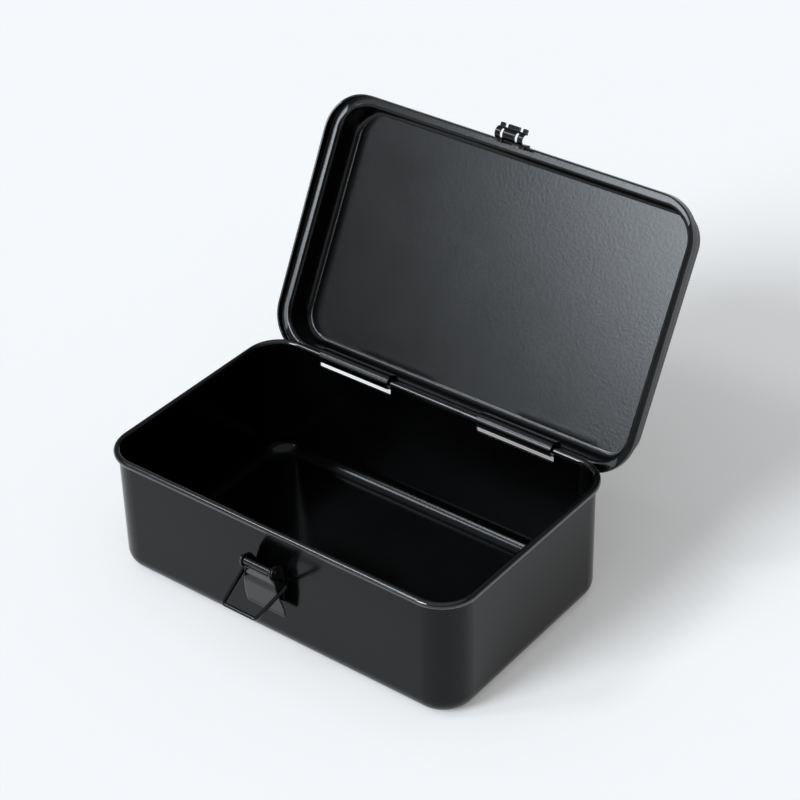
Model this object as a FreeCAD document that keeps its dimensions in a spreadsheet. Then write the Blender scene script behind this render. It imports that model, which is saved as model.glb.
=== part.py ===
import FreeCAD, Part
import math
import os
import Sketcher

from FreeCAD import Vector

# A pressed steel lunch box: a deep drawn tray with a rolled rim, a shallow lid that turns on
# two straps curled round the rim, and a draw latch on the front.
# Millimetres. The origin is the centre of the bottom face, +Z is up and the latch faces -Y.

os.makedirs("parts", exist_ok=True)
doc = FreeCAD.newDocument("lunch_box")
sheet = doc.addObject("Spreadsheet::Sheet", "sizes")

DRIVING_SIZES = {
    # Tray: outside of the walls, steel thickness and the rolled rim
    "tray_width": 195.6,
    "tray_depth": 120.0,
    "rim_height": 64.4,
    "tray_corner": 16.0,
    "tray_bottom_round": 8.5,
    "steel": 0.8,
    "rim_radius": 1.65,
    "rim_overhang": 2.2,
    # Lid: a skirt that drops over the rim, a flat ledge and a raised pan
    "skirt_gap": 1.9,
    "skirt_drop": 4.6,
    "skirt_taper": 1.8,
    "ledge_width": 4.2,
    "ledge_round": 1.2,
    "pan_rise": 15.0,
    "pan_round": 3.0,
    # Hinge: how far the lid opens, how loose it hangs and how high it lies over the rim
    "lid_opening": 118.4,
    "hinge_play": 2.1,
    "lid_rise": 0.75,
    # Hinge straps, curled round the rim through a slot in the back wall
    "strap_length": 41.0,
    "strap_centre": 46.5,
    "strap_steel": 0.8,
    "strap_gap": 0.9,
    "strap_end_gap": 0.4,
    "strap_tail": 170.0,
    "slot_drop": 5.8,
    "slot_room": 1.0,
    "slot_corner": 0.5,
    # Latch base and pin, measured out from the front wall and up from the bottom
    "pin_out": 8.2,
    "pin_up": 48.0,
    "pin_radius": 1.0,
    "running_gap": 0.05,
    "knuckle_radius": 1.7,
    "knuckle_length": 14.2,
    "head_radius": 1.9,
    "head_height": 0.6,
    "head_gap": 0.1,
    "dimple_radius": 1.1,
    "dimple_depth": 0.4,
    "base_weld": 12.0,
    "base_bend": 2.0,
    "base_lean": 35.0,
    "base_curl": 285.0,
    # Wire loop: where it turns, how far it hangs down and how it is bent
    "loop_out": 2.8,
    "loop_up": 39.5,
    "loop_reach": 20.8,
    "loop_wire": 0.95,
    "loop_tilt": 21.5,
    "loop_foot": 12.0,
    "loop_foot_bend": 1.6,
    "loop_nose": 9.4,
    "loop_corner": 1.8,
    "loop_end_gap": 0.4,
    # Latch lever: the runs and bends of its finger plate from the neck to the tip
    "lever_steel": 0.8,
    "lever_top_out": 8.4,
    "lever_neck_drop": 2.4,
    "neck_run": 4.5,
    "neck_lean": 18.0,
    "neck_bend": 4.0,
    "waist_run": 2.5,
    "waist_bend": 9.0,
    "finger_lean": 12.0,
    "finger_run": 12.1,
    "tip_bend": 6.0,
    "tip_turn": 8.0,
    "tip_run": 1.2,
    # Outline of the finger plate, seen from the front
    "neck_width": 14.7,
    "shoulder_level": 41.5,
    "shoulder_height": 2.0,
    "shoulder_round": 1.0,
    "finger_width": 21.6,
    "finger_widest": 28.0,
    "finger_round": 6.0,
    "tip_level": 22.6,
    "tip_corner": 1.5,
    "tip_inset": 2.5,
    # Sides of the lever, seen from the end
    "side_outside": 8.5,
    "side_front": 2.2,
    "side_crown": 2.1,
    "side_crown_round": 2.0,
    "side_shoulder": 4.2,
    "side_shoulder_round": 5.0,
    "side_wall_gap": 0.6,
    "side_back_rise": 4.5,
    "side_back_round": 3.0,
    "side_foot": 3.0,
    "side_foot_round": 2.2,
    "side_foot_out": 7.0,
    "side_waist_rise": 2.0,
    "side_waist_round": 2.0,
    "side_small_round": 0.3,
    # Keeper on the front of the lid
    "keeper_width": 15.0,
    "keeper_steel": 0.8,
    "hook_width": 2.6,
    "hook_inside": 2.2,
    "hook_lip": 1.0,
    "window_width": 1.6,
    "window_round": 0.6,
    "flare_out": 1.8,
    "flare_round": 0.6,
    "tab_rise": 3.0,
    "seat_gap": 0.15,
}
for row, (alias, value) in enumerate(DRIVING_SIZES.items(), start=1):
    sheet.set(f"A{row}", alias)
    sheet.set(f"B{row}", str(value))
    sheet.setAlias(f"B{row}", alias)
doc.recompute()


def size(alias):
    return float(getattr(sheet, alias))


def new_body(label):
    body = doc.addObject("PartDesign::Body", label)
    body.Label = label
    return body


def origin_plane(body, role):
    return next(part for part in body.Origin.OriginFeatures if part.Role == role)


def new_sketch(body, name, role, offset=0.0):
    """An empty sketch on one of the body's origin planes, moved along its normal."""
    sketch = body.newObject("Sketcher::SketchObject", name)
    sketch.AttachmentSupport = (origin_plane(body, role), [""])
    sketch.MapMode = "FlatFace"
    sketch.AttachmentOffset = FreeCAD.Placement(Vector(0, 0, offset), FreeCAD.Rotation())
    return sketch


def add_fixed(sketch, curves):
    """Adds finished curves to a sketch and holds each of them in place."""
    for curve in curves:
        index = sketch.addGeometry(curve, False)
        sketch.addConstraint(Sketcher.Constraint("Block", index))


def rounded_rectangle(sketch, width, depth, corner):
    """A rectangle round the origin with corner arcs, driven by three expressions."""
    half_x, half_y, radius = 60.0, 40.0, 10.0
    corners = [(1, 1, 0), (-1, 1, 90), (-1, -1, 180), (1, -1, 270)]
    for side_x, side_y, start in corners:
        centre = Vector(side_x * (half_x - radius), side_y * (half_y - radius), 0)
        circle = Part.Circle(centre, Vector(0, 0, 1), radius)
        sketch.addGeometry(Part.ArcOfCircle(circle, math.radians(start), math.radians(start + 90)), False)
    for index in range(4):
        first = sketch.Geometry[index].EndPoint
        second = sketch.Geometry[(index + 1) % 4].StartPoint
        sketch.addGeometry(Part.LineSegment(first, second), False)
    for index in range(4):
        following = (index + 1) % 4
        line = 4 + index
        sketch.addConstraint(Sketcher.Constraint("Tangent", index, 2, line, 1))
        sketch.addConstraint(Sketcher.Constraint("Tangent", line, 2, following, 1))
        sketch.addConstraint(Sketcher.Constraint("Horizontal" if index % 2 == 0 else "Vertical", line))
    for index in range(1, 4):
        sketch.addConstraint(Sketcher.Constraint("Equal", 0, index))
    sketch.addConstraint(Sketcher.Constraint("Symmetric", 0, 3, 2, 3, -1, 1))
    for name, constraint, expression in (
        ("corner", Sketcher.Constraint("Radius", 0, radius), corner),
        ("across", Sketcher.Constraint("DistanceX", 1, 3, 0, 3, 2 * (half_x - radius)),
         f"({width}) - 2 * ({corner})"),
        ("along", Sketcher.Constraint("DistanceY", 3, 3, 0, 3, 2 * (half_y - radius)),
         f"({depth}) - 2 * ({corner})"),
    ):
        index = sketch.addConstraint(constraint)
        sketch.renameConstraint(index, name)
        sketch.setExpression(f"Constraints.{name}", expression)


def bent_strip(start, heading, runs, thickness):
    """The closed outline of a bent sheet: its left side follows the runs, its right side is offset.

    A run is a length, or a pair of the bend's radius on the left side and its angle in degrees,
    positive to the left. The left side of the sheet is the side that the runs measure.
    """
    left, right = [], []
    point = Vector(*start, 0)
    angle = math.radians(heading)
    for run in runs:
        normal = Vector(math.sin(angle), -math.cos(angle), 0)
        if isinstance(run, tuple):
            radius, turn = run[0], math.radians(run[1])
            side = 1 if turn > 0 else -1
            centre = point - normal * side * radius
            outer = radius + side * thickness
            middle_angle, end_angle = angle + turn / 2, angle + turn
            middle = Vector(math.sin(middle_angle), -math.cos(middle_angle), 0) * side
            end = Vector(math.sin(end_angle), -math.cos(end_angle), 0) * side
            left.append((point, centre + middle * radius, centre + end * radius))
            right.append((centre + normal * side * outer, centre + middle * outer, centre + end * outer))
            point, angle = centre + end * radius, end_angle
        else:
            finish = point + Vector(math.cos(angle), math.sin(angle), 0) * run
            left.append((point, finish))
            right.append((point + normal * thickness, finish + normal * thickness))
            point = finish
    curves = []
    for side in (left, right):
        for points in side:
            curves.append(Part.Arc(*points) if len(points) == 3 else Part.LineSegment(*points))
    curves.append(Part.LineSegment(left[0][0], right[0][0]))
    curves.append(Part.LineSegment(left[-1][-1], right[-1][-1]))
    return curves


def rounded_outline(points, radii, closed=True):
    """Straight runs between points, with a tangent arc at each turn that has a radius."""
    count = len(points)
    corners = []
    for index, (point, radius) in enumerate(zip(points, radii)):
        here = Vector(*point, 0)
        if radius == 0:
            corners.append((here,))
            continue
        before = (Vector(*points[index - 1], 0) - here).normalize()
        after = (Vector(*points[(index + 1) % count], 0) - here).normalize()
        half_turn = before.getAngle(after) / 2
        reach = radius / math.tan(half_turn)
        middle = (before + after).normalize() * (radius / math.sin(half_turn) - radius)
        corners.append((here + before * reach, here + middle, here + after * reach))
    curves = []
    for index, corner in enumerate(corners):
        if len(corner) == 3:
            curves.append(Part.Arc(*corner))
        if closed or index < count - 1:
            curves.append(Part.LineSegment(corner[-1], corners[(index + 1) % count][0]))
    return curves


def circle(across, up, radius):
    return Part.Circle(Vector(across, up, 0), Vector(0, 0, 1), radius)


def polygon(corners):
    """Straight lines from corner to corner, closed."""
    points = [Vector(first, second, 0) for first, second in corners]
    return [Part.LineSegment(start, end) for start, end in zip(points, points[1:] + points[:1])]


def pad(body, sketch, name, length, reverse=False, both=False):
    feature = body.newObject("PartDesign::Pad", name)
    feature.Profile = sketch
    feature.Midplane = both
    feature.Reversed = reverse
    feature.setExpression("Length", length)
    return feature


LEAST_CUT = 0.1


def pocket(body, sketch, name, length, reverse=False, both=False):
    """Cuts a sketch out of the body and makes sure that steel really came away."""
    doc.recompute()
    before = body.Shape.Volume
    feature = body.newObject("PartDesign::Pocket", name)
    feature.Profile = sketch
    feature.Midplane = both
    feature.Reversed = reverse
    feature.setExpression("Length", length)
    doc.recompute()
    if feature.Shape.Volume > before - LEAST_CUT:
        raise RuntimeError(f"{name} cuts nothing")
    return feature


def fillet(body, base, name, radius, chosen):
    """Rounds the edges of base that the test picks."""
    doc.recompute()
    edges = [f"Edge{number}" for number, edge in enumerate(base.Shape.Edges, start=1) if chosen(edge)]
    feature = body.newObject("PartDesign::Fillet", name)
    feature.Base = (base, edges)
    feature.setExpression("Radius", radius)
    doc.recompute()
    return feature


def at_height(level):
    """A test for edges that lie flat at one height."""
    def test(edge):
        box = edge.BoundBox
        return abs(box.ZMin - level) < 1e-3 and abs(box.ZMax - level) < 1e-3
    return test


half_depth = size("tray_depth") / 2
rim_level = size("rim_height") - size("rim_radius")
rim_offset = size("rim_overhang") - size("rim_radius")
bead_y = half_depth + rim_offset

# The hinge axis lies a little under and behind the bead, because the straps hang on it loosely.
half_swing = math.radians(size("lid_opening") / 2)
swing_radius = size("hinge_play") / 2 / math.sin(half_swing)
hinge_y = bead_y + swing_radius * math.cos(half_swing)
hinge_z = rim_level - size("hinge_play") / 2


# Tray: a drawn shell with a rolled bead round its mouth and a slot under it for each strap
def make_tray():
    body = new_body("tray")
    outline = new_sketch(body, "tray_outline", "XY_Plane")
    rounded_rectangle(outline, "sizes.tray_width", "sizes.tray_depth", "sizes.tray_corner")
    pad(body, outline, "tray_block", "sizes.rim_height - sizes.rim_radius")
    inside = new_sketch(body, "tray_inside", "XY_Plane", rim_level)
    rounded_rectangle(inside, "sizes.tray_width - 2 * sizes.steel", "sizes.tray_depth - 2 * sizes.steel",
                      "sizes.tray_corner - sizes.steel")
    hollow = pocket(body, inside, "tray_hollow", "sizes.rim_height - sizes.rim_radius - sizes.steel")
    floor = fillet(body, hollow, "tray_floor_edge", "sizes.tray_bottom_round - sizes.steel",
                   at_height(size("steel")))
    fillet(body, floor, "tray_bottom_edge", "sizes.tray_bottom_round", at_height(0))

    # Each strap turns in a notch of the back wall, which the bead then bridges as a bare bar.
    slot_top = rim_level + size("rim_radius") / 2
    slot_bottom = rim_level - size("slot_drop")
    half_slot = size("strap_length") / 2 + size("slot_room")
    slots = new_sketch(body, "strap_slots", "XZ_Plane", -half_depth)
    for side in (-1, 1):
        left = side * size("strap_centre") - half_slot
        right = side * size("strap_centre") + half_slot
        corners = [(left, slot_bottom), (right, slot_bottom), (right, slot_top), (left, slot_top)]
        add_fixed(slots, rounded_outline(corners, [size("slot_corner")] * 4))
    pocket(body, slots, "strap_slot_cut", "sizes.steel * 3", both=True)

    path = new_sketch(body, "rim_path", "XY_Plane", rim_level)
    growth = "2 * (sizes.rim_overhang - sizes.rim_radius)"
    rounded_rectangle(path, f"sizes.tray_width + {growth}", f"sizes.tray_depth + {growth}",
                      "sizes.tray_corner + sizes.rim_overhang - sizes.rim_radius")
    section = new_sketch(body, "rim_section", "YZ_Plane")
    index = section.addGeometry(circle(-bead_y, rim_level, size("rim_radius")), False)
    section.addConstraint(Sketcher.Constraint("DistanceX", index, 3, -1, 1, bead_y))
    section.addConstraint(Sketcher.Constraint("DistanceY", -1, 1, index, 3, rim_level))
    radius = section.addConstraint(Sketcher.Constraint("Radius", index, size("rim_radius")))
    section.setExpression(f"Constraints[{radius}]", "sizes.rim_radius")
    bead = body.newObject("PartDesign::AdditivePipe", "rim_bead")
    bead.Profile = section
    bead.Spine = (path, [f"Edge{number}" for number in range(1, len(path.Geometry) + 1)])
    doc.recompute()
    return body


# Lid: a drawn pan with a flat ledge and a skirt, modelled shut and then swung open
strap_inside = size("rim_radius") + size("strap_gap")
ledge_level = rim_level + strap_inside + size("strap_steel") + size("lid_rise")
skirt_level = ledge_level - size("skirt_drop")
lid_front = half_depth + size("rim_overhang") + size("skirt_gap") + size("steel")
skirt_grow = "2 * (sizes.rim_overhang + sizes.skirt_gap + sizes.steel)"


def lid_placement():
    turn = FreeCAD.Rotation(Vector(1, 0, 0), -size("lid_opening"))
    return FreeCAD.Placement(Vector(), turn, Vector(0, hinge_y, hinge_z))


def make_lid():
    body = new_body("lid")
    skirt_corner = "sizes.tray_corner + sizes.rim_overhang + sizes.skirt_gap + sizes.steel"
    inset = "2 * (sizes.ledge_width + sizes.steel)"
    skirt = new_sketch(body, "skirt_outline", "XY_Plane", skirt_level)
    rounded_rectangle(skirt, f"sizes.tray_width + {skirt_grow}", f"sizes.tray_depth + {skirt_grow}",
                      skirt_corner)
    pad(body, skirt, "skirt_block", "sizes.skirt_drop + sizes.steel")
    pan = new_sketch(body, "pan_outline", "XY_Plane", ledge_level)
    rounded_rectangle(pan, f"sizes.tray_width + {skirt_grow} - {inset}",
                      f"sizes.tray_depth + {skirt_grow} - {inset}",
                      f"{skirt_corner} - sizes.ledge_width - sizes.steel")
    pad(body, pan, "pan_block", "sizes.pan_rise + sizes.steel")

    under = new_sketch(body, "skirt_inside", "XY_Plane", ledge_level)
    rounded_rectangle(under, f"sizes.tray_width + {skirt_grow} - 2 * sizes.steel",
                      f"sizes.tray_depth + {skirt_grow} - 2 * sizes.steel", f"{skirt_corner} - sizes.steel")
    pocket(body, under, "skirt_hollow", "sizes.skirt_drop")
    inside = new_sketch(body, "pan_inside", "XY_Plane", ledge_level + size("pan_rise"))
    rounded_rectangle(inside, f"sizes.tray_width + {skirt_grow} - {inset} - 2 * sizes.steel",
                      f"sizes.tray_depth + {skirt_grow} - {inset} - 2 * sizes.steel",
                      f"{skirt_corner} - sizes.ledge_width - 2 * sizes.steel")
    hollow = pocket(body, inside, "pan_hollow", "sizes.pan_rise")
    panel_level = ledge_level + size("pan_rise")
    panel = fillet(body, hollow, "panel_edge", "sizes.pan_round", at_height(panel_level))
    top = fillet(body, panel, "pan_top_edge", "sizes.pan_round + sizes.steel",
                 at_height(panel_level + size("steel")))
    shoulder = fillet(body, top, "shoulder_edges", "sizes.ledge_round",
                      at_height(ledge_level + size("steel")))
    half_width = size("tray_width") / 2

    def pan_mouth(edge):
        box = edge.BoundBox
        within = max(-box.XMin, box.XMax) < half_width and max(-box.YMin, box.YMax) < half_depth
        return at_height(ledge_level)(edge) and within

    def skirt_corner_inside(edge):
        return at_height(ledge_level)(edge) and not pan_mouth(edge)
    mouth = fillet(body, shoulder, "pan_mouth_edge", "sizes.ledge_round + sizes.steel", pan_mouth)
    fillet(body, mouth, "skirt_inner_edge", "sizes.ledge_round - sizes.steel", skirt_corner_inside)

    # The skirt gets shallower toward the back and leaves the straight back edge free,
    # so that the lid can swing down behind the back wall.
    front = size("tray_corner") - half_depth
    back = lid_front + size("steel")
    taper = new_sketch(body, "skirt_taper", "YZ_Plane")
    below = skirt_level - size("skirt_drop")
    add_fixed(taper, polygon([(front, skirt_level), (front, below), (back, below),
                              (back, skirt_level + size("skirt_taper"))]))
    pocket(body, taper, "skirt_taper_cut", "2 * sizes.tray_width", both=True)
    corner_side = half_width - size("tray_corner")
    cut = new_sketch(body, "rear_skirt", "XY_Plane", ledge_level)
    add_fixed(cut, polygon([(-corner_side, half_depth), (corner_side, half_depth),
                            (corner_side, back), (-corner_side, back)]))
    pocket(body, cut, "rear_skirt_cut", "sizes.skirt_drop")
    body.Placement = lid_placement()
    return body


# Hinge straps: steel strips welded under the ledge, which hang on the rim bead in a loose loop
def make_strap(label, place):
    body = new_body(label)
    sketch = new_sketch(body, f"{label}_section", "YZ_Plane", place * size("strap_centre"))
    bulge = swing_radius * (1 - math.cos(half_swing))
    curl = strap_inside + bulge / 2
    weld_end = lid_front - size("steel") - size("strap_end_gap")
    leaf = weld_end - bead_y + bulge / 2
    side = size("lid_rise") + size("hinge_play") - bulge
    outline = bent_strip((weld_end, ledge_level - size("strap_steel")), 180,
                         [leaf, (curl, 90), side, (curl, size("strap_tail"))], size("strap_steel"))
    add_fixed(sketch, outline)
    pad(body, sketch, f"{label}_strip", "sizes.strap_length", both=True)
    body.Placement = lid_placement()
    return body


# Keeper: a strip welded to the front of the lid, with three hooks that hold the wire loop
loop_y = -(half_depth + size("loop_out"))


def make_keeper():
    body = new_body("keeper")
    inside = size("hook_inside")
    plate = size("keeper_steel")
    bar_out = lid_front + plate + inside + loop_y
    loop_rise = math.sqrt(size("loop_reach") ** 2 - bar_out ** 2)
    hook_level = size("loop_up") + loop_rise + inside - size("loop_wire") - size("seat_gap")
    section = new_sketch(body, "keeper_section", "YZ_Plane")
    outline = bent_strip((-lid_front, ledge_level), 270,
                         [ledge_level - hook_level, (inside + plate, -180), size("hook_lip")], plate)
    add_fixed(section, outline)
    pad(body, section, "keeper_strip", "sizes.keeper_width", both=True)

    # Two windows in the bottom of the channel part the hooks.
    end = size("keeper_width") / 2
    windows = new_sketch(body, "hook_windows", "XY_Plane", hook_level)
    near, far = -(lid_front + plate), -(lid_front + plate + 2 * inside)
    for side in (-1, 1):
        outer = side * (end - size("hook_width"))
        inner = outer - side * size("window_width")
        corners = [(outer, near), (inner, near), (inner, far), (outer, far)]
        add_fixed(windows, rounded_outline(corners, [size("window_round")] * 4))
    pocket(body, windows, "hook_window_cut", "2 * (sizes.hook_inside + sizes.keeper_steel)")

    # The lip of each hook flares outward, which guides the loop on to the hooks.
    flares = new_sketch(body, "lip_flares", "XY_Plane", hook_level + size("hook_lip"))
    rim, flare_edge = far - plate / 2, far - plate - size("flare_out")
    edge = end - size("hook_width")
    middle = edge - size("window_width")
    for left, right in ((-end, -edge), (-middle, middle), (edge, end)):
        corners = [(left, rim), (left, flare_edge), (right, flare_edge), (right, rim)]
        add_fixed(flares, rounded_outline(corners, [0, size("flare_round"), size("flare_round"), 0]))
    pad(body, flares, "lip_flare_plates", "sizes.keeper_steel", reverse=True)

    # Under each outer hook a tab is folded round the edge of the skirt and up its inner side.
    skirt_inside = lid_front - size("steel")
    for side in (-1, 1):
        tab = new_sketch(body, f"tab_section_{side + 1}", "YZ_Plane", side * (end - size("hook_width") / 2))
        add_fixed(tab, polygon([(-lid_front - plate / 2, skirt_level - plate),
                                (plate - skirt_inside, skirt_level - plate),
                                (plate - skirt_inside, skirt_level + size("tab_rise")),
                                (-skirt_inside, skirt_level + size("tab_rise")),
                                (-skirt_inside, skirt_level), (-lid_front - plate / 2, skirt_level)]))
        pad(body, tab, f"tab_{side + 1}", "sizes.hook_width", both=True)
    body.Placement = lid_placement()
    return body


# Latch base: a strip welded to the front wall, which leans out and is curled round the lever's pin
pin_y = -(half_depth + size("pin_out"))
bore = size("pin_radius") + size("running_gap")


def make_latch_base():
    body = new_body("latch_base")
    section = new_sketch(body, "base_section", "YZ_Plane")
    plate = size("knuckle_radius") - bore
    bend = size("base_bend")
    lean = math.radians(size("base_lean"))
    arm_out = size("pin_out") - plate - bend + (bend - bore) * math.cos(lean)
    arm = arm_out / math.sin(lean)
    weld_top = size("pin_up") + (bore - bend) * math.sin(lean) - arm * math.cos(lean)
    foot = (-(half_depth + plate), weld_top - size("base_weld"))
    runs = [size("base_weld"), (bend, size("base_lean")), arm, (bore, size("base_curl"))]
    add_fixed(section, bent_strip(foot, 90, runs, plate))
    pad(body, section, "base_strip", "sizes.knuckle_length", both=True)
    return body


# Latch pin: a rivet through the knuckle and both sides of the lever, with a dimpled head at each end
def make_latch_pin():
    body = new_body("latch_pin")
    shank = new_sketch(body, "shank_circle", "YZ_Plane")
    add_fixed(shank, [circle(pin_y, size("pin_up"), size("pin_radius"))])
    pad(body, shank, "shank", "2 * (sizes.side_outside + sizes.head_gap)", both=True)
    head_foot = size("side_outside") + size("head_gap")
    for side in (-1, 1):
        head = new_sketch(body, f"head_circle_{side + 1}", "YZ_Plane", side * head_foot)
        add_fixed(head, [circle(pin_y, size("pin_up"), size("head_radius"))])
        pad(body, head, f"head_{side + 1}", "sizes.head_height", reverse=side < 0)
        dimple = new_sketch(body, f"dimple_circle_{side + 1}", "YZ_Plane",
                            side * (head_foot + size("head_height")))
        add_fixed(dimple, [circle(pin_y, size("pin_up"), size("dimple_radius"))])
        pocket(body, dimple, f"dimple_{side + 1}", "sizes.dimple_depth", reverse=side < 0)
    return body


# Latch lever: a pressed channel, with a finger plate in front and two sides that carry the loop
def make_lever():
    body = new_body("latch_lever")
    section = new_sketch(body, "finger_section", "YZ_Plane")
    neck = (-(half_depth + size("lever_top_out")), size("pin_up") - size("lever_neck_drop"))
    runs = [size("neck_run"), (size("neck_bend"), -size("neck_lean")),
            size("waist_run"), (size("waist_bend"), size("finger_lean")),
            size("finger_run"), (size("tip_bend"), -size("tip_turn")), size("tip_run")]
    add_fixed(section, bent_strip(neck, 270 + size("neck_lean"), runs, size("lever_steel")))
    pad(body, section, "finger_plate", "sizes.finger_width", both=True)

    # What lies outside the finger plate's outline is trimmed off on both sides.
    outline = new_sketch(body, "finger_outline", "XZ_Plane")
    top, low = size("pin_up"), size("tip_level") - 2 * size("tip_inset")
    half_neck, half_wide = size("neck_width") / 2, size("finger_width") / 2
    shoulder = size("shoulder_level")
    points = [(half_neck, top), (half_neck, shoulder + size("shoulder_height")),
              (size("side_outside"), shoulder), (half_wide, size("finger_widest")),
              (half_wide, size("tip_level")), (half_wide - size("tip_inset"), low),
              (2 * half_wide, low), (2 * half_wide, top)]
    radii = [0, size("shoulder_round"), size("shoulder_round"), size("finger_round"), size("tip_corner"),
             0, 0, 0]
    for side in (-1, 1):
        add_fixed(outline, rounded_outline([(side * across, up) for across, up in points], radii))
    pocket(body, outline, "finger_trim", "sizes.tray_depth", reverse=True)

    front, crown = size("pin_out") + size("side_front"), size("pin_up") + size("side_crown")
    back, back_level = size("side_wall_gap"), size("loop_up") + size("side_back_rise")
    foot_out, foot_level = size("side_foot_out"), size("loop_up") - size("side_foot")
    waist_level = size("loop_up") + size("side_waist_rise")
    points = [(front, crown), (size("pin_out") - size("side_shoulder"), crown), (back, back_level),
              (back, foot_level), (foot_out, foot_level), (foot_out, waist_level),
              (front, size("pin_up") - size("side_front"))]
    radii = [size("side_crown_round"), size("side_shoulder_round"), size("side_back_round"),
             size("side_foot_round"), size("side_small_round"), size("side_waist_round"),
             size("side_waist_round")]
    for side in (-1, 1):
        sketch = new_sketch(body, f"side_outline_{side + 1}", "YZ_Plane", side * size("side_outside"))
        add_fixed(sketch, rounded_outline([(-(half_depth + out), up) for out, up in points], radii))
        pad(body, sketch, f"side_{side + 1}", "sizes.lever_steel", reverse=side > 0)
    holes = new_sketch(body, "pivot_holes", "YZ_Plane")
    add_fixed(holes, [circle(pin_y, size("pin_up"), bore),
                      circle(loop_y, size("loop_up"), size("loop_wire") + size("running_gap"))])
    pocket(body, holes, "pivot_hole_cut", "2 * sizes.finger_width", both=True)
    return body


# Wire loop: one bent wire whose ends turn in through the sides of the lever
def make_loop():
    body = new_body("latch_loop")
    end = size("side_outside") - size("lever_steel") - size("loop_end_gap")
    foot, nose, reach = size("loop_foot"), size("loop_nose"), size("loop_reach")
    path = new_sketch(body, "loop_path", "XY_Plane")
    points = [(end, 0), (foot, 0), (nose, reach), (-nose, reach), (-foot, 0), (-end, 0)]
    foot_bend, corner = size("loop_foot_bend"), size("loop_corner")
    curves = rounded_outline(points, [0, foot_bend, corner, corner, foot_bend, 0], closed=False)
    add_fixed(path, curves)
    wire = new_sketch(body, "loop_section", "YZ_Plane", end)
    add_fixed(wire, [circle(0, 0, size("loop_wire"))])
    bar = body.newObject("PartDesign::AdditivePipe", "loop_bar")
    bar.Profile = wire
    bar.Spine = (path, [f"Edge{number}" for number in range(1, len(curves) + 1)])
    doc.recompute()
    turn = FreeCAD.Rotation(Vector(1, 0, 0), 180 + size("loop_tilt"))
    body.Placement = FreeCAD.Placement(Vector(0, loop_y, size("loop_up")), turn)
    return body


tray = make_tray()
lid = make_lid()
straps = [make_strap("hinge_strap_left", -1), make_strap("hinge_strap_right", 1)]
latch = [make_keeper(), make_latch_base(), make_latch_pin(), make_lever(), make_loop()]
nodes = [tray, lid, *straps, *latch]

doc.recompute()
for thing in doc.Objects:
    if "Invalid" in thing.State or "Error" in thing.State:
        raise RuntimeError(f"{thing.Label} failed: {thing.State}")
for node in nodes:
    if node.Shape.isNull() or not node.Shape.isValid():
        raise RuntimeError(f"{node.Label} has no valid shape")
    print(node.Label, len(node.Shape.Solids), round(node.Shape.Volume, 1), node.Shape.BoundBox)
for node in nodes:
    node.Shape.exportStep(f"parts/{node.Label}.step")
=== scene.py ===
import math

import bpy
from mathutils import Matrix, Vector


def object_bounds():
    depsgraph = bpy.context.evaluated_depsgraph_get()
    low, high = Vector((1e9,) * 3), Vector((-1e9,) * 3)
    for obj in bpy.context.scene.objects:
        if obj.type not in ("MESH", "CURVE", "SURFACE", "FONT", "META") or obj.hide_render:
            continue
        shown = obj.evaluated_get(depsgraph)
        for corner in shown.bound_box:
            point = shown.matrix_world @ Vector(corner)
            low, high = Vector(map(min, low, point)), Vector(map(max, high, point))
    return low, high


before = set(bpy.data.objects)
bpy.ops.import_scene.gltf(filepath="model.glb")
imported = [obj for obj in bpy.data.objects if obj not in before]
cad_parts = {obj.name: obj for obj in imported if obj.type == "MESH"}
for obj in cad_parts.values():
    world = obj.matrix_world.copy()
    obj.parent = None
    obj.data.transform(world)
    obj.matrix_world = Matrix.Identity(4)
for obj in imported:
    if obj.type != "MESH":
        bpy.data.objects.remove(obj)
solid_low, solid_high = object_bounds()


# Tray: one deep-drawn pan of thin steel whose upper edge is rolled outward into a round bead.
# It is sprayed inside and out with satin black paint and baked, which leaves a fine orange peel.
# It stands flat on its own floor and carries everything else. Hands have polished the bead a little.
class Shade:
    """A shader node's output. Arithmetic on it adds Math nodes, and add() adds any other node."""

    def __init__(self, tree, socket=None):
        self.tree = tree
        self.socket = socket

    def add(self, kind, settings=None, sockets=None, output=0):
        node = self.tree.nodes.new(kind)
        for name, value in (settings or {}).items():
            setattr(node, name, value)
        for name, value in (sockets or {}).items():
            if isinstance(value, Shade):
                self.tree.links.new(value.socket, node.inputs[name])
            else:
                node.inputs[name].default_value = value
        return Shade(self.tree, node.outputs[output] if node.outputs else None)

    def maths(self, operation, first, second):
        return self.add("ShaderNodeMath", {"operation": operation}, {0: first, 1: second})

    def __add__(self, other):
        return self.maths("ADD", self, other)

    def __radd__(self, other):
        return self.maths("ADD", other, self)

    def __sub__(self, other):
        return self.maths("SUBTRACT", self, other)

    def __rsub__(self, other):
        return self.maths("SUBTRACT", other, self)

    def __mul__(self, other):
        return self.maths("MULTIPLY", self, other)

    def __rmul__(self, other):
        return self.maths("MULTIPLY", other, self)


def new_finish(name):
    material = bpy.data.materials.new(name)
    material.use_nodes = True
    material.node_tree.nodes.clear()
    return material, Shade(material.node_tree)


def grain(shade, place, per_metre, detail=2.0, roughness=0.5):
    return shade.add("ShaderNodeTexNoise", {"noise_dimensions": "3D"},
                     {"Vector": place, "Scale": per_metre, "Detail": detail, "Roughness": roughness})


def between(shade, value, low, high, to_low=0.0, to_high=1.0):
    return shade.add("ShaderNodeMapRange", {"interpolation_type": "SMOOTHSTEP", "clamp": True},
                     {"Value": value, "From Min": low, "From Max": high,
                      "To Min": to_low, "To Max": to_high})


def blended(shade, share, first, second):
    # A Mix node keeps its colour inputs at 6 and 7 and its colour output at 2.
    return shade.add("ShaderNodeMix", {"data_type": "RGBA"}, {0: share, 6: first, 7: second}, 2)


def along(shade, place, axis):
    return shade.add("ShaderNodeSeparateXYZ", {}, {0: place}, axis)


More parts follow.
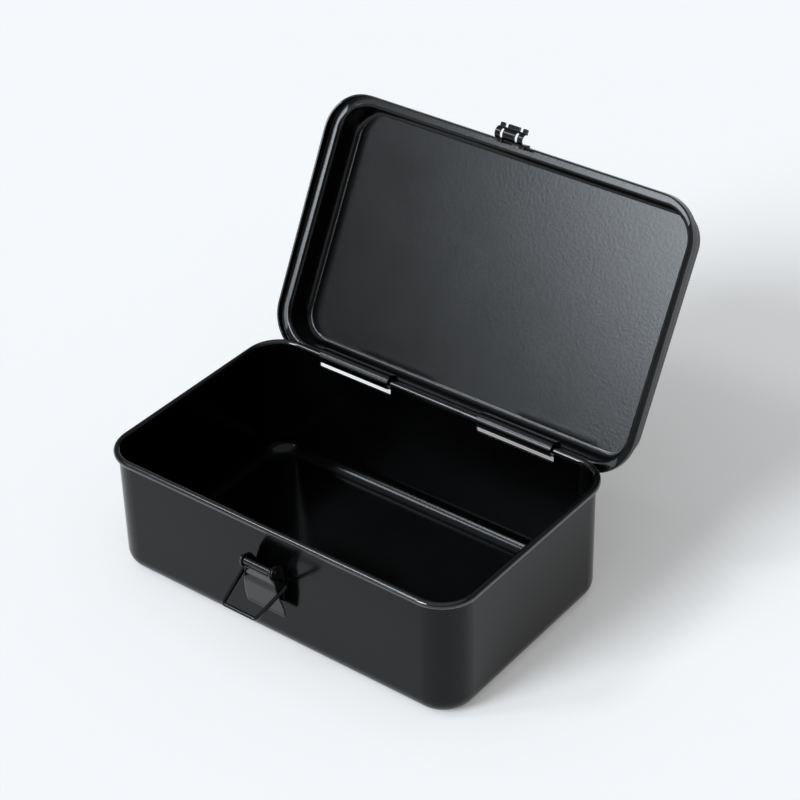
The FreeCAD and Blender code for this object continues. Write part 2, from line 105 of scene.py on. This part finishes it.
deep_black = (0.0007, 0.0007, 0.0008, 1)
# The lighter grey of the edges is partly a painted highlight and partly paint rubbed thin.
edge_highlight_and_wear_grey = (0.055, 0.055, 0.056, 1)
cloud_per_metre, patch_per_metre, dust_per_metre = 14.0, 55.0, 2600.0
dust_low, dust_high = 0.70, 0.76
thin_low, thin_high = 0.38, 0.66
turn_low, turn_high = 0.04, 0.26
patch_sheen, cloud_sheen, dust_sheen = 0.03, 0.02, 0.08
thin_share, dust_share = 0.55, 0.3
coat_roughness = 0.07


def baked_paint(name, thin_black, gloss, index, peel_height, peel_per_metre,
                edge=0.0003, edge_highlight_and_wear_share=0.2, form=None, polish=None):
    material, shade = new_finish(name)
    place = shade.add("ShaderNodeTexCoord", output="Object")
    cloud = grain(shade, place, cloud_per_metre, 3.0)
    patch = grain(shade, place, patch_per_metre, 4.0, 0.6)
    peel = grain(shade, place, peel_per_metre, 2.0, 0.45)
    dust = grain(shade, place, dust_per_metre, 1.0)
    fleck = between(shade, dust, dust_low, dust_high)
    thin = between(shade, cloud * 0.6 + patch * 0.4, thin_low, thin_high)
    sheen = gloss + (patch - 0.5) * patch_sheen + (cloud - 0.5) * cloud_sheen + fleck * dust_sheen
    soft_edge = shade.add("ShaderNodeBevel", {"samples": 6}, {"Radius": edge})
    face = shade.add("ShaderNodeNewGeometry", output="Normal")
    facing = shade.add("ShaderNodeVectorMath", {"operation": "DOT_PRODUCT"},
                       {0: soft_edge, 1: face}, "Value")
    # Every turned edge, convex and concave alike, gets a lighter grey: a painted highlight where edges
    # catch the light, and partly paint rubbed thin.
    edge_highlight_and_wear_mask = between(shade, 1.0 - facing, turn_low, turn_high)
    colour = blended(shade, thin * thin_share + fleck * dust_share, deep_black, thin_black)
    colour = blended(shade, edge_highlight_and_wear_mask * (0.5 + patch) * edge_highlight_and_wear_share, colour, edge_highlight_and_wear_grey)
    if form:
        soft_edge = shade.add("ShaderNodeBump", {}, {"Strength": 1.0, "Distance": 1.0,
                                                     "Height": form(shade, place), "Normal": soft_edge})
    relief = shade.add("ShaderNodeBump", {}, {"Strength": 1.0, "Distance": peel_height, "Height": peel,
                                              "Normal": soft_edge})
    surface = shade.add("ShaderNodeBsdfPrincipled", {},
                        {"Base Color": colour, "Roughness": sheen, "Normal": relief, "IOR": index,
                         "Coat Weight": polish(shade, place) if polish else 0.0,
                         "Coat Roughness": coat_roughness})
    shade.add("ShaderNodeOutputMaterial", {}, {"Surface": surface})
    return material


def coat(node, material):
    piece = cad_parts[node]
    piece.data.materials.clear()
    piece.data.materials.append(material)


rim_foot, rim_side = 0.0607, 0.0615


def rubbed_rim(shade, place):
    return between(shade, along(shade, place, "Z"), rim_foot, rim_side)


sheet_thin_black = (0.0018, 0.0019, 0.0020, 1)
tray_paint = baked_paint("tray_baked_paint", sheet_thin_black, gloss=0.15, index=1.32,
                         peel_height=0.000012, peel_per_metre=740.0, polish=rubbed_rim)
coat("tray", tray_paint)

# Lid: a shallow drawn pan with a ledge all round and a turned-down skirt that closes over the bead.
# It has the same baked paint as the tray, a little rougher, with a deeper orange peel on the broad panel.
# Drawing left the ledge and the skirt's hem slightly sloped, which is a shallow relief in the paint here.
hinge_line = (0.0, 0.06118, 0.06170)
lid_opening = math.radians(118.4)
ledge_height, hem_height = 0.06685, 0.0638
ledge_margin = 0.0004
ledge_front, ledge_side = 0.0579, 0.0957
front_slope, side_slope, hem_slope = 0.075, 0.10, 0.30


def drawn_ledge(shade, place):
    shut = shade.add("ShaderNodeVectorRotate", {"rotation_type": "X_AXIS"},
                     {"Vector": place, "Center": hinge_line, "Angle": lid_opening})
    across = along(shade, shut, "X")
    depth = along(shade, shut, "Y")
    level = along(shade, shut, "Z")
    forward = shade.maths("MAXIMUM", -ledge_front - depth, 0.0)
    sideways = shade.maths("MAXIMUM", shade.maths("ABSOLUTE", across, 0.0) - ledge_side, 0.0)
    underside = shade.maths("LESS_THAN", level, ledge_height + ledge_margin)
    hem = shade.maths("LESS_THAN", level, hem_height)
    front = forward * (hem * (front_slope + hem_slope) - underside * front_slope)
    return front + sideways * underside * side_slope


lid_paint = baked_paint("lid_baked_paint", sheet_thin_black, gloss=0.195, index=1.40,
                        peel_height=0.000018, peel_per_metre=740.0, form=drawn_ledge)
coat("lid", lid_paint)

# Hinge straps: two bent steel strips, spot welded under the lid's ledge and curled round the rim bead.
# They are painted black like the lid, in a slightly rougher coat.
fitting_thin_black = (0.0020, 0.0020, 0.0021, 1)
strap_paint = baked_paint("strap_baked_paint", fitting_thin_black, gloss=0.22, index=1.46,
                          peel_height=0.000012, peel_per_metre=760.0)
coat("hinge_strap_left", strap_paint)
coat("hinge_strap_right", strap_paint)

# Keeper: a small steel strip on the middle of the lid's front skirt.
# It is bent to a channel with three flared lips, and two tabs are folded round the edge of the skirt.
# Its paint is thin, smooth and glossy.
keeper_paint = baked_paint("keeper_baked_paint", fitting_thin_black, gloss=0.11, index=1.38,
                           peel_height=0.000008, peel_per_metre=760.0)
coat("keeper", keeper_paint)

# Latch base: a strip welded to the tray's front wall, bent outward and curled into the lever's knuckle.
# Its black paint is smooth and glossy, like that of the other small fittings.
latch_paint = baked_paint("latch_baked_paint", fitting_thin_black, gloss=0.11, index=1.48,
                          peel_height=0.000008, peel_per_metre=800.0)
coat("latch_base", latch_paint)

# Latch pin: a short steel rivet through the lever's two cheeks and the knuckle, headed over at both ends.
# The punch leaves a dimple in each head. It is painted like the base and stays with it as the lever turns.
coat("latch_pin", latch_paint)

# Latch lever: a pressed steel finger plate with two cheeks folded back, which carry the pin and the loop.
# A lighter grey lines its edges, partly a painted highlight and partly paint rubbed thin by fingers, and
# its bends are the roundest of all the pieces.
lever_paint = baked_paint("lever_baked_paint", fitting_thin_black, gloss=0.17, index=1.40,
                          peel_height=0.000008, peel_per_metre=800.0, edge=0.0009, edge_highlight_and_wear_share=0.9)
coat("latch_lever", lever_paint)

# Latch loop: one bent wire with its ends sprung into the lever's cheeks.
# It goes over the keeper and pulls it down.
# The wire is drawn smooth, so its coat is the glossiest on the box.
wire_paint = baked_paint("wire_baked_paint", fitting_thin_black, gloss=0.10, index=1.44,
                         peel_height=0.000004, peel_per_metre=900.0)
coat("latch_loop", wire_paint)

# Studio floor: a broad sheet of pale paper under the box, which keeps the soft shadow.
# A weak glow lifts the paper to the pale tone of the photograph, also where the paint mirrors it.
paper_dark, paper_light = (0.932, 0.914, 0.896, 1), (0.942, 0.924, 0.906, 1)
mottle_per_metre = 3.0
glow_strength = 0.22
floor_reach = 6.0
floor_gap = 0.0001
paper, paper_shade = new_finish("studio_paper")
paper_place = paper_shade.add("ShaderNodeTexCoord", output="Object")
paper_mottle = grain(paper_shade, paper_place, mottle_per_metre)
paper_tone = blended(paper_shade, paper_mottle, paper_dark, paper_light)
paper_face = paper_shade.add("ShaderNodeBsdfDiffuse", {}, {"Color": paper_tone})


def in_view(shade):
    seen = shade.add("ShaderNodeLightPath", output="Is Camera Ray")
    mirrored = shade.add("ShaderNodeLightPath", output="Is Glossy Ray")
    through = shade.add("ShaderNodeLightPath", output="Is Transmission Ray")
    return shade.maths("MINIMUM", seen + mirrored + through, 1.0)


paper_glow = paper_shade.add("ShaderNodeEmission", {},
                             {"Color": paper_tone, "Strength": in_view(paper_shade) * glow_strength})
paper_sum = paper_shade.add("ShaderNodeAddShader", {}, {0: paper_face, 1: paper_glow})
paper_shade.add("ShaderNodeOutputMaterial", {}, {"Surface": paper_sum})
floor_mesh = bpy.data.meshes.new("studio_floor")
floor_mesh.from_pydata([(-floor_reach, -floor_reach, 0), (floor_reach, -floor_reach, 0),
                        (floor_reach, floor_reach, 0), (-floor_reach, floor_reach, 0)], [], [(0, 1, 2, 3)])
floor_mesh.materials.append(paper)
studio_floor = bpy.data.objects.new("studio_floor", floor_mesh)
studio_floor.location.z = solid_low.z - floor_gap
bpy.context.scene.collection.objects.link(studio_floor)

# Studio light: one broad window of light from the front left and a wide, weak screen of light overhead.
# A small lamp on the left adds a highlight. The room is pale low down, near the floor, and dim above.
wall_top, ceiling_foot = 0.05, 0.16
wall_strength, ceiling_strength = 0.95, 0.16
room_colour = (0.94, 0.975, 1.0, 1)
lamp_colour = (0.86, 0.93, 1.0)
world = bpy.data.worlds.new("pale_room")
bpy.context.scene.world = world
world.use_nodes = True
world.node_tree.nodes.clear()
room = Shade(world.node_tree)
outlook = room.add("ShaderNodeTexCoord", output="Generated")
climb = along(room, outlook, "Z")
wall_to_ceiling = between(room, climb, wall_top, ceiling_foot, wall_strength, ceiling_strength)
room_light = room.add("ShaderNodeBackground", {}, {"Color": room_colour, "Strength": wall_to_ceiling})
room.add("ShaderNodeOutputWorld", {}, {"Surface": room_light})


def away(turn, rise):
    return Vector((math.sin(turn) * math.cos(rise), -math.cos(turn) * math.cos(rise), math.sin(rise)))


def hang_light(name, energy, across, from_left, above):
    lamp = bpy.data.lights.new(name, "SUN")
    lamp.energy = energy
    lamp.angle = math.radians(across)
    lamp.color = lamp_colour
    source = away(-math.radians(from_left), math.radians(above))
    hung = bpy.data.objects.new(name, lamp)
    hung.rotation_mode = "QUATERNION"
    hung.rotation_quaternion = source.to_track_quat("Z", "Y")
    bpy.context.scene.collection.objects.link(hung)


hang_light("window_light", energy=2.5, across=25, from_left=19, above=29)
hang_light("high_screen", energy=0.74, across=90, from_left=12, above=72)
hang_light("left_lamp", energy=0.36, across=10, from_left=46, above=45)

# Camera: a short telephoto above the front right corner, as in the photograph.
# It looks down over the open tray at the inside of the lid, and leans by a degree and a half.
camera_place = (0.5297, -0.6396, 0.6645)
bearing, height, roll = (math.radians(angle) for angle in (38.160, 34.372, -1.421))
camera = bpy.data.cameras.new("camera")
camera.sensor_width = 36.0
camera.lens = 102.59
camera.clip_start = 0.05
camera.clip_end = 50.0
back = away(bearing, height)
level_right = (-back).cross(Vector((0, 0, 1))).normalized()
level_up = level_right.cross(-back)
right = math.cos(roll) * level_right + math.sin(roll) * level_up
up = -math.sin(roll) * level_right + math.cos(roll) * level_up
camera_turn = Matrix((right, up, back)).transposed().to_4x4()
view = bpy.data.objects.new("camera", camera)
view.matrix_world = Matrix.Translation(camera_place) @ camera_turn
bpy.context.scene.collection.objects.link(view)
bpy.context.scene.camera = view
bpy.context.scene.view_settings.view_transform = "Standard"
